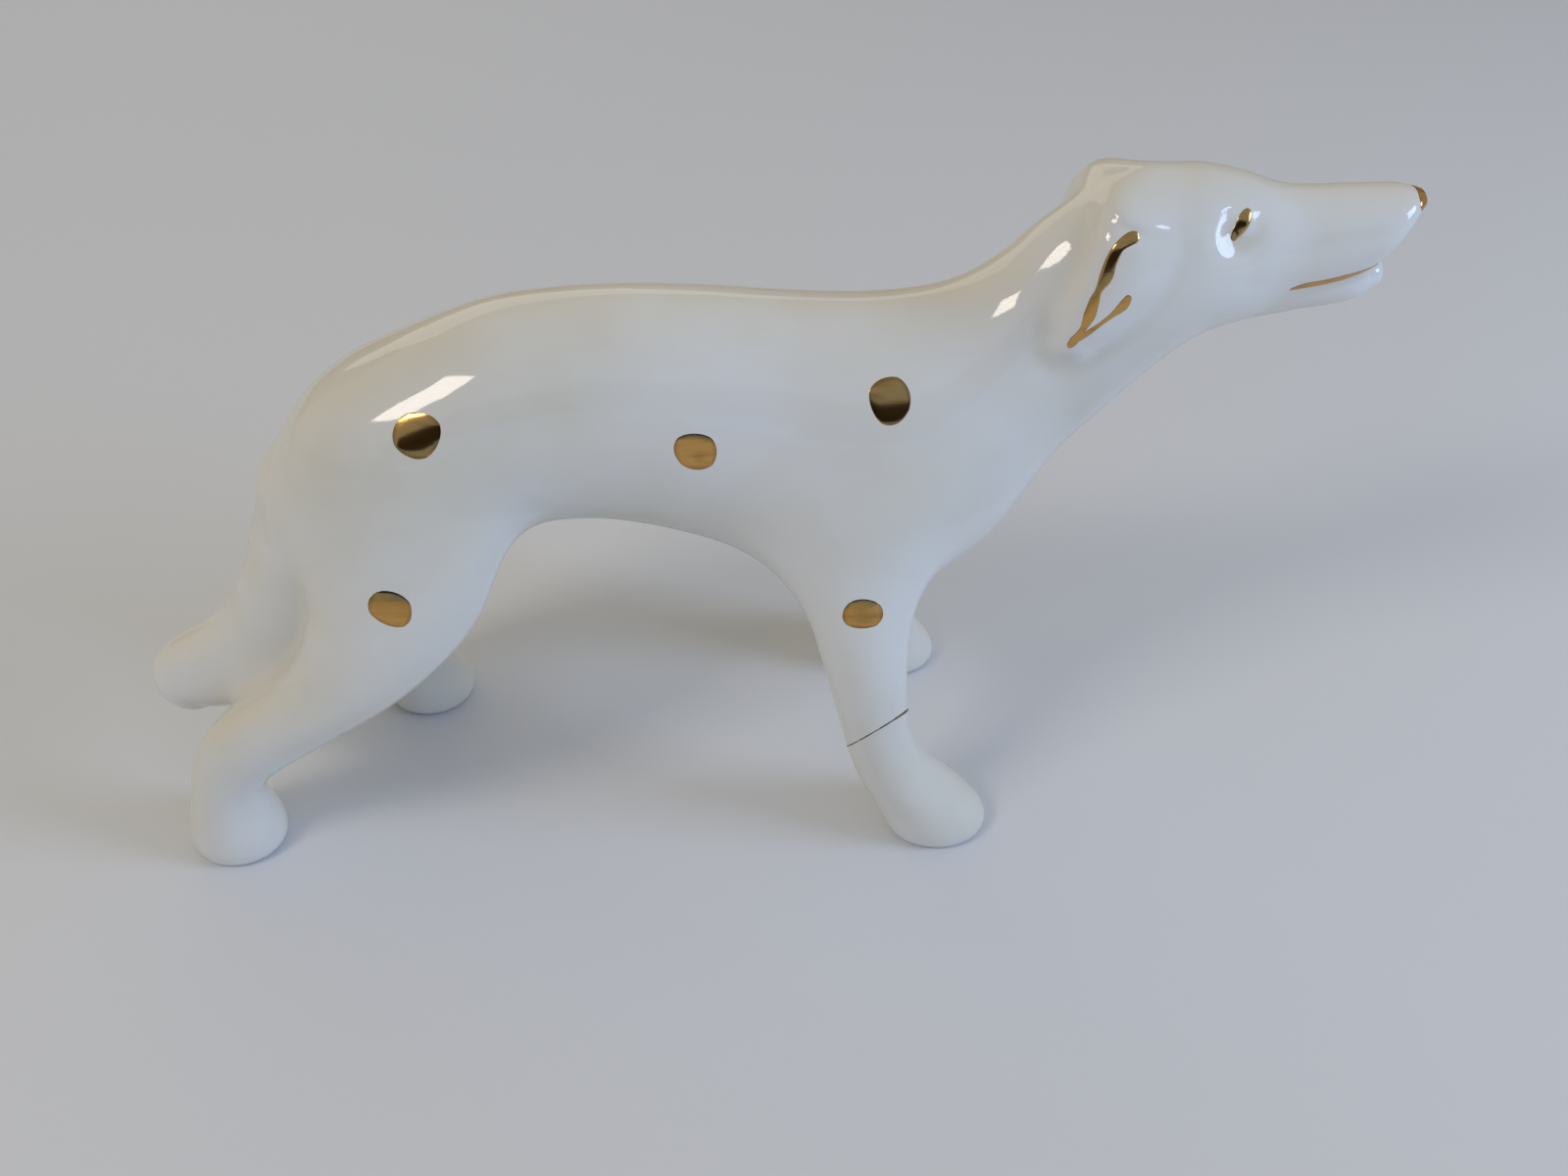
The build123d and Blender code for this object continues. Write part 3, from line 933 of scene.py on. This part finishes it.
@dataclass
class MendedBreak:
    """The glued break above the right forepaw: a dark line round the leg, on a slanting plane."""

    x: float = 17.0
    y: float = -17.8
    z: float = 19.0
    rise_ahead: float = 0.78
    rise_aside: float = -1.0
    thin: float = 0.17
    thick: float = 0.42
    thickest_turn: float = math.radians(-20.0)
    swell: float = 3.0
    ragged: float = 0.25
    ragged_waves: tuple[int, int] = (23, 11)
    ragged_phase: float = 1.0
    # Its film over and under the skin, and where the rays towards the leg start
    height: float = 0.03
    rim_sink: float = 0.02
    bed_sink: float = 0.2
    start_radius: float = 11.0
    around: int = 180
    across: int = 5

    def build(self, hound: Hound) -> Piece:
        """Draw the line round the leg.

        From the middle of the leg a ray turns in the plane of the break: level by the cosine and sine of the
        turn, and up by the plane's rise that way. The line's width swells from thin to thick towards one
        turn, and the product of two sines makes it ragged.

        Args:
            hound: the body that broke.

        Returns:
            The line as a closed film.
        """
        turn = np.linspace(0.0, 2 * math.pi, self.around, endpoint=False)
        level = np.stack((np.cos(turn), np.sin(turn)), axis=1)
        rise = level @ (self.rise_ahead, self.rise_aside)
        out = np.column_stack((level, rise)) / np.sqrt(1.0 + rise**2)[:, None]
        square = np.array((-self.rise_ahead, -self.rise_aside, 1.0))
        square = square / np.linalg.norm(square)
        swollen = np.exp(self.swell * (np.cos(turn - self.thickest_turn) - 1.0))
        fast, slow = self.ragged_waves
        ragged = 1.0 + self.ragged * np.sin(fast * turn) * np.sin(slow * turn + self.ragged_phase)
        width = (self.thin + (self.thick - self.thin) * swollen) * ragged
        share = np.linspace(-0.5, 0.5, self.across)
        starts = np.array((self.x, self.y, self.z)) + self.start_radius * out[:, None]
        starts = starts + (width[:, None] * share)[..., None] * square
        inward = np.broadcast_to(-out[:, None], starts.shape)
        edge = np.broadcast_to(np.abs(2 * share), starts.shape[:2])
        film = Film(hound, self.height, self.rim_sink, self.bed_sink)
        points, quads, rim = film.mesh(starts, inward, edge, wrap=True)
        return new_piece("old_glue_line", points, quads, {"rim": rim})


@dataclass(frozen=True)
class LeadGlaze:
    """White lead glaze on earthenware, dipped and fired: a glossy coat that gathers in hollows."""

    white: str = "#e4e2dc"
    cream: str = "#ddd8c9"
    pooled: str = "#cdc4ab"
    speck: str = "#6d5a43"
    patch_size: float = 24.0
    drift: tuple[float, float] = (0.42, 0.72)
    pool_full: float = 0.5
    pool_share: float = 0.75
    speck_spacing: float = 13.0
    speck_radius: float = 0.26
    speck_share: float = 0.3
    ripple_size: float = 5.0
    ripple_height: float = 0.02
    roughness: float = 0.06
    ior: float = 1.52

    def material(self) -> Material:
        """The finish: clear gloss over a body whose white drifts to cream, deeper where the glaze has run
        together, with a rare iron speck and the slight ripple that a dipped coat keeps.

        Returns:
            The node material.
        """
        material, tree, shader = new_material("white_lead_glaze_dipped")
        place = add_node(tree, "TexCoord", {}).outputs["Object"]
        patches = add_node(
            tree, "TexNoise", {"Vector": place, "Scale": per_metre(self.patch_size), "Detail": 3.0}
        )
        low, high = self.drift
        drift = add_node(tree, "MapRange", {"Value": patches, "From Min": low, "From Max": high})
        coat = add_node(tree, "Mix", {"Factor": drift, "A": self.white, "B": self.cream}, data_type="RGBA")
        hollow = add_node(tree, "Attribute", {}, attribute_name="pooling").outputs["Fac"]
        gathered = add_node(
            tree, "MapRange", {"Value": hollow, "From Max": self.pool_full, "To Max": self.pool_share}
        )
        deep = add_node(tree, "Mix", {"Factor": gathered, "A": coat, "B": self.pooled}, data_type="RGBA")
        cells = add_node(tree, "TexVoronoi", {"Vector": place, "Scale": per_metre(self.speck_spacing)})
        radius = self.speck_radius / self.speck_spacing
        spot = add_node(tree, "MapRange", {"Value": cells, "From Min": radius, "From Max": radius / 2})
        chance = add_node(tree, "SeparateColor", {"Color": cells.outputs["Color"]})
        rare = add_node(tree, "Math", {0: chance, 1: self.speck_share}, operation="LESS_THAN")
        shown = add_node(tree, "Math", {0: spot, 1: rare}, operation="MULTIPLY")
        specked = add_node(tree, "Mix", {"Factor": shown, "A": deep, "B": self.speck}, data_type="RGBA")
        ripple = add_node(
            tree, "TexNoise", {"Vector": place, "Scale": per_metre(self.ripple_size), "Detail": 1.0}
        )
        waved = add_node(tree, "Bump", {"Height": ripple, "Distance": self.ripple_height * MM})
        wire(shader, {"Base Color": specked, "Normal": waved, "Roughness": self.roughness, "IOR": self.ior})
        return material


@dataclass(frozen=True)
class GoldLustre:
    """Liquid bright gold, brushed on and fired: a thin mirror-like film, browner where it is thin."""

    bright: str = "#d3a662"
    worn: str = "#87603c"
    rim_from: float = 0.72
    rim_share: float = 0.7
    streak_size: float = 0.9
    streak_stretch: float = 4.0
    streak_range: tuple[float, float] = (0.5, 0.8)
    streak_share: float = 0.55
    ripple_height: float = 0.008
    roughness: float = 0.13

    def material(self) -> Material:
        """The finish: a soft mirror with the drag of the brush in it, brown at the rim where it thins.

        Returns:
            The node material.
        """
        material, tree, shader = new_material("bright_gold_lustre_brushed")
        place = add_node(tree, "TexCoord", {}).outputs["Object"]
        drawn = add_node(tree, "Mapping", {"Vector": place, "Scale": (1.0 / self.streak_stretch, 1.0, 1.0)})
        streaks = add_node(
            tree, "TexNoise", {"Vector": drawn, "Scale": per_metre(self.streak_size), "Detail": 3.0}
        )
        rim = add_node(tree, "Attribute", {}, attribute_name="rim").outputs["Fac"]
        thin_rim = add_node(
            tree, "MapRange", {"Value": rim, "From Min": self.rim_from, "To Max": self.rim_share}
        )
        low, high = self.streak_range
        thin_streak = add_node(
            tree, "MapRange",
            {"Value": streaks, "From Min": low, "From Max": high, "To Max": self.streak_share},
        )
        thin = add_node(tree, "Math", {0: thin_rim, 1: thin_streak}, operation="ADD", use_clamp=True)
        colour = add_node(tree, "Mix", {"Factor": thin, "A": self.bright, "B": self.worn}, data_type="RGBA")
        waved = add_node(tree, "Bump", {"Height": streaks, "Distance": self.ripple_height * MM})
        wire(shader, {"Base Color": colour, "Normal": waved, "Roughness": self.roughness, "Metallic": 1.0})
        return material


@dataclass(frozen=True)
class OldGlue:
    """Old resin glue squeezed out of a break: dull brown, darker where dirt has settled in it."""

    amber: str = "#8d6f4d"
    dirt: str = "#3d2f24"
    grain_size: float = 0.7
    grain_range: tuple[float, float] = (0.4, 0.6)
    roughness: float = 0.55

    def material(self) -> Material:
        """The finish: a dull line that breaks up between amber and dirt.

        Returns:
            The node material.
        """
        material, tree, shader = new_material("resin_glue_aged")
        place = add_node(tree, "TexCoord", {}).outputs["Object"]
        grain = add_node(
            tree, "TexNoise", {"Vector": place, "Scale": per_metre(self.grain_size), "Detail": 2.0}
        )
        low, high = self.grain_range
        broken = add_node(tree, "MapRange", {"Value": grain, "From Min": low, "From Max": high})
        colour = add_node(tree, "Mix", {"Factor": broken, "A": self.dirt, "B": self.amber}, data_type="RGBA")
        wire(shader, {"Base Color": colour, "Roughness": self.roughness})
        return material


class Card(NamedTuple):
    """An upright sheet that the camera doesn't see, and whether only gloss sees it."""

    name: str
    half_width: float
    height: float
    y: float
    z: float
    colour: str
    gloss_only: bool


class Lamp(NamedTuple):
    """An area lamp: where it hangs, its width and height, its power and its colour."""

    name: str
    place: Xyz
    size: tuple[float, float]
    watts: float
    colour: str


@dataclass
class Studio:
    """A pale paper floor, soft lamps, cards for the gloss to mirror, and the camera."""

    lens: float = 39.51
    sensor_width: float = 36.0
    clip_start: float = 10.0
    camera_place: Xyz = (-7.19, -182.43, 182.79)
    elevation: float = 40.0
    azimuth: float = -4.0
    floor_half: float = 1500.0
    floor_colour: str = "#dee0e4"
    paper_roughness: float = 0.95
    # A dark card behind the camera and a tan one behind the dog
    cards: tuple[Card, ...] = (
        Card("dark_card", 330.0, 190.0, y=-430.0, z=110.0, colour="#2b2622", gloss_only=True),
        Card("tan_card", 620.0, 420.0, y=520.0, z=0.0, colour="#c9b184", gloss_only=False),
    )
    lamps: tuple[Lamp, ...] = (
        Lamp("overhead_softbox", (-390.0, -270.0, 520.0), (190.0, 130.0), watts=0.9, colour="#fff4e6"),
        Lamp("side_window", (555.0, -175.0, 268.0), (240.0, 220.0), watts=1.65, colour="#c2d7fa"),
        Lamp("rear_softbox", (-120.0, 480.0, 260.0), (520.0, 240.0), watts=0.3, colour="#f8f4ec"),
    )
    aim: Xyz = (0.0, 0.0, 45.0)
    daylight_from: Xyz = (0.3, -0.8, -0.5)
    daylight: str = "#9ec6fd"
    room: str = "#e0cc9a"
    room_strength: float = 0.63

    def sheet(self, name: str, corners: Array, colour: str) -> Piece:
        """Stand or lay a matt sheet of paper that isn't part of the object.

        Args:
            name: the sheet's name.
            corners: its four corners in millimetres.
            colour: sRGB hex colour.

        Returns:
            The sheet.
        """
        paper = new_piece(name, corners, np.array([[0, 1, 2, 3]]))
        material, _, shader = new_material(f"matt_paper_{name}")
        wire(shader, {"Base Color": colour, "Roughness": self.paper_roughness})
        paper.data.materials.append(material)
        paper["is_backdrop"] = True
        return paper

    def sheets(self) -> None:
        """Lay the floor and stand the cards."""
        flat = np.array([(-1.0, -1.0, 0.0), (1.0, -1.0, 0.0), (1.0, 1.0, 0.0), (-1.0, 1.0, 0.0)])
        self.sheet("floor", flat * self.floor_half, self.floor_colour)
        upright = np.array([(-1.0, 0.0, 0.0), (1.0, 0.0, 0.0), (1.0, 0.0, 1.0), (-1.0, 0.0, 1.0)])
        for card in self.cards:
            corners = upright * (card.half_width, 1.0, card.height) + (0.0, card.y, card.z)
            paper = self.sheet(card.name, corners, card.colour)
            paper.visible_diffuse = not card.gloss_only
            paper.visible_camera = False

    def hang(self, lamp: Lamp) -> None:
        """Hang an area lamp so that it faces the middle of the dog.

        Args:
            lamp: its values.
        """
        light = bpy.data.lights.new(lamp.name, "AREA")
        light.shape = "RECTANGLE"
        light.size, light.size_y = (s * MM for s in lamp.size)
        light.energy = lamp.watts
        light.color = linear(lamp.colour)[:3]
        hung = bpy.data.objects.new(lamp.name, light)
        bpy.context.scene.collection.objects.link(hung)
        place = Vector(lamp.place) * MM
        hung.location = place
        hung.rotation_euler = (Vector(self.aim) * MM - place).to_track_quat("-Z", "Y").to_euler()
        hung.visible_camera = False

    def light(self) -> None:
        """Hang the lamps, and set the even light of a room with daylight from one side."""
        for lamp in self.lamps:
            self.hang(lamp)
        world = bpy.data.worlds.new("room")
        bpy.context.scene.world = world
        world.use_nodes = True
        tree = world.node_tree
        way = add_node(tree, "TexCoord", {}).outputs["Generated"]
        ahead = add_node(tree, "VectorMath", {0: way, 1: self.daylight_from}, operation="DOT_PRODUCT")
        share = add_node(tree, "MapRange", {"Value": ahead.outputs["Value"], "From Min": -1.0})
        sky = add_node(tree, "Mix", {"Factor": share, "A": self.room, "B": self.daylight}, data_type="RGBA")
        wire(tree.nodes["Background"], {"Color": sky, "Strength": self.room_strength})

    def camera(self) -> None:
        """Set the camera where the photograph was taken from."""
        data = bpy.data.cameras.new("camera")
        data.lens = self.lens
        data.sensor_width = self.sensor_width
        data.clip_start = self.clip_start * MM
        camera = bpy.data.objects.new("camera", data)
        camera.location = tuple(c * MM for c in self.camera_place)
        camera.rotation_euler = (math.radians(90.0 - self.elevation), 0.0, math.radians(self.azimuth))
        bpy.context.scene.collection.objects.link(camera)
        bpy.context.scene.camera = camera


CLAY = (
    "trunk_right_half", "trunk_left_half", "head", "right_ear", "left_ear", "right_foreleg", "right_forepaw",
    "left_foreleg", "right_hind_leg", "left_hind_leg", "tail",
)


def main() -> None:
    """Build the pieces in order, then the studio."""
    logging.basicConfig(level=logging.INFO, format="%(name)s: %(message)s")
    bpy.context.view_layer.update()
    hound = Hound()
    points, quads = hound.skin()
    body = new_piece("glazed_body", points, quads, {"pooling": hound.pooled(points)})
    linked(body, "white_glaze", LeadGlaze().material(), *CLAY)
    gold = GoldLustre().material()
    for node, piece in Gilding().build(hound).items():
        linked(piece, "gold_lustre", gold, node)
    linked(MendedBreak().build(hound), "old_glue", OldGlue().material(), "repair_adhesive")
    studio = Studio()
    studio.sheets()
    studio.light()
    studio.camera()
    bpy.context.scene.view_settings.view_transform = "Standard"


if __name__ == "__main__":
    main()
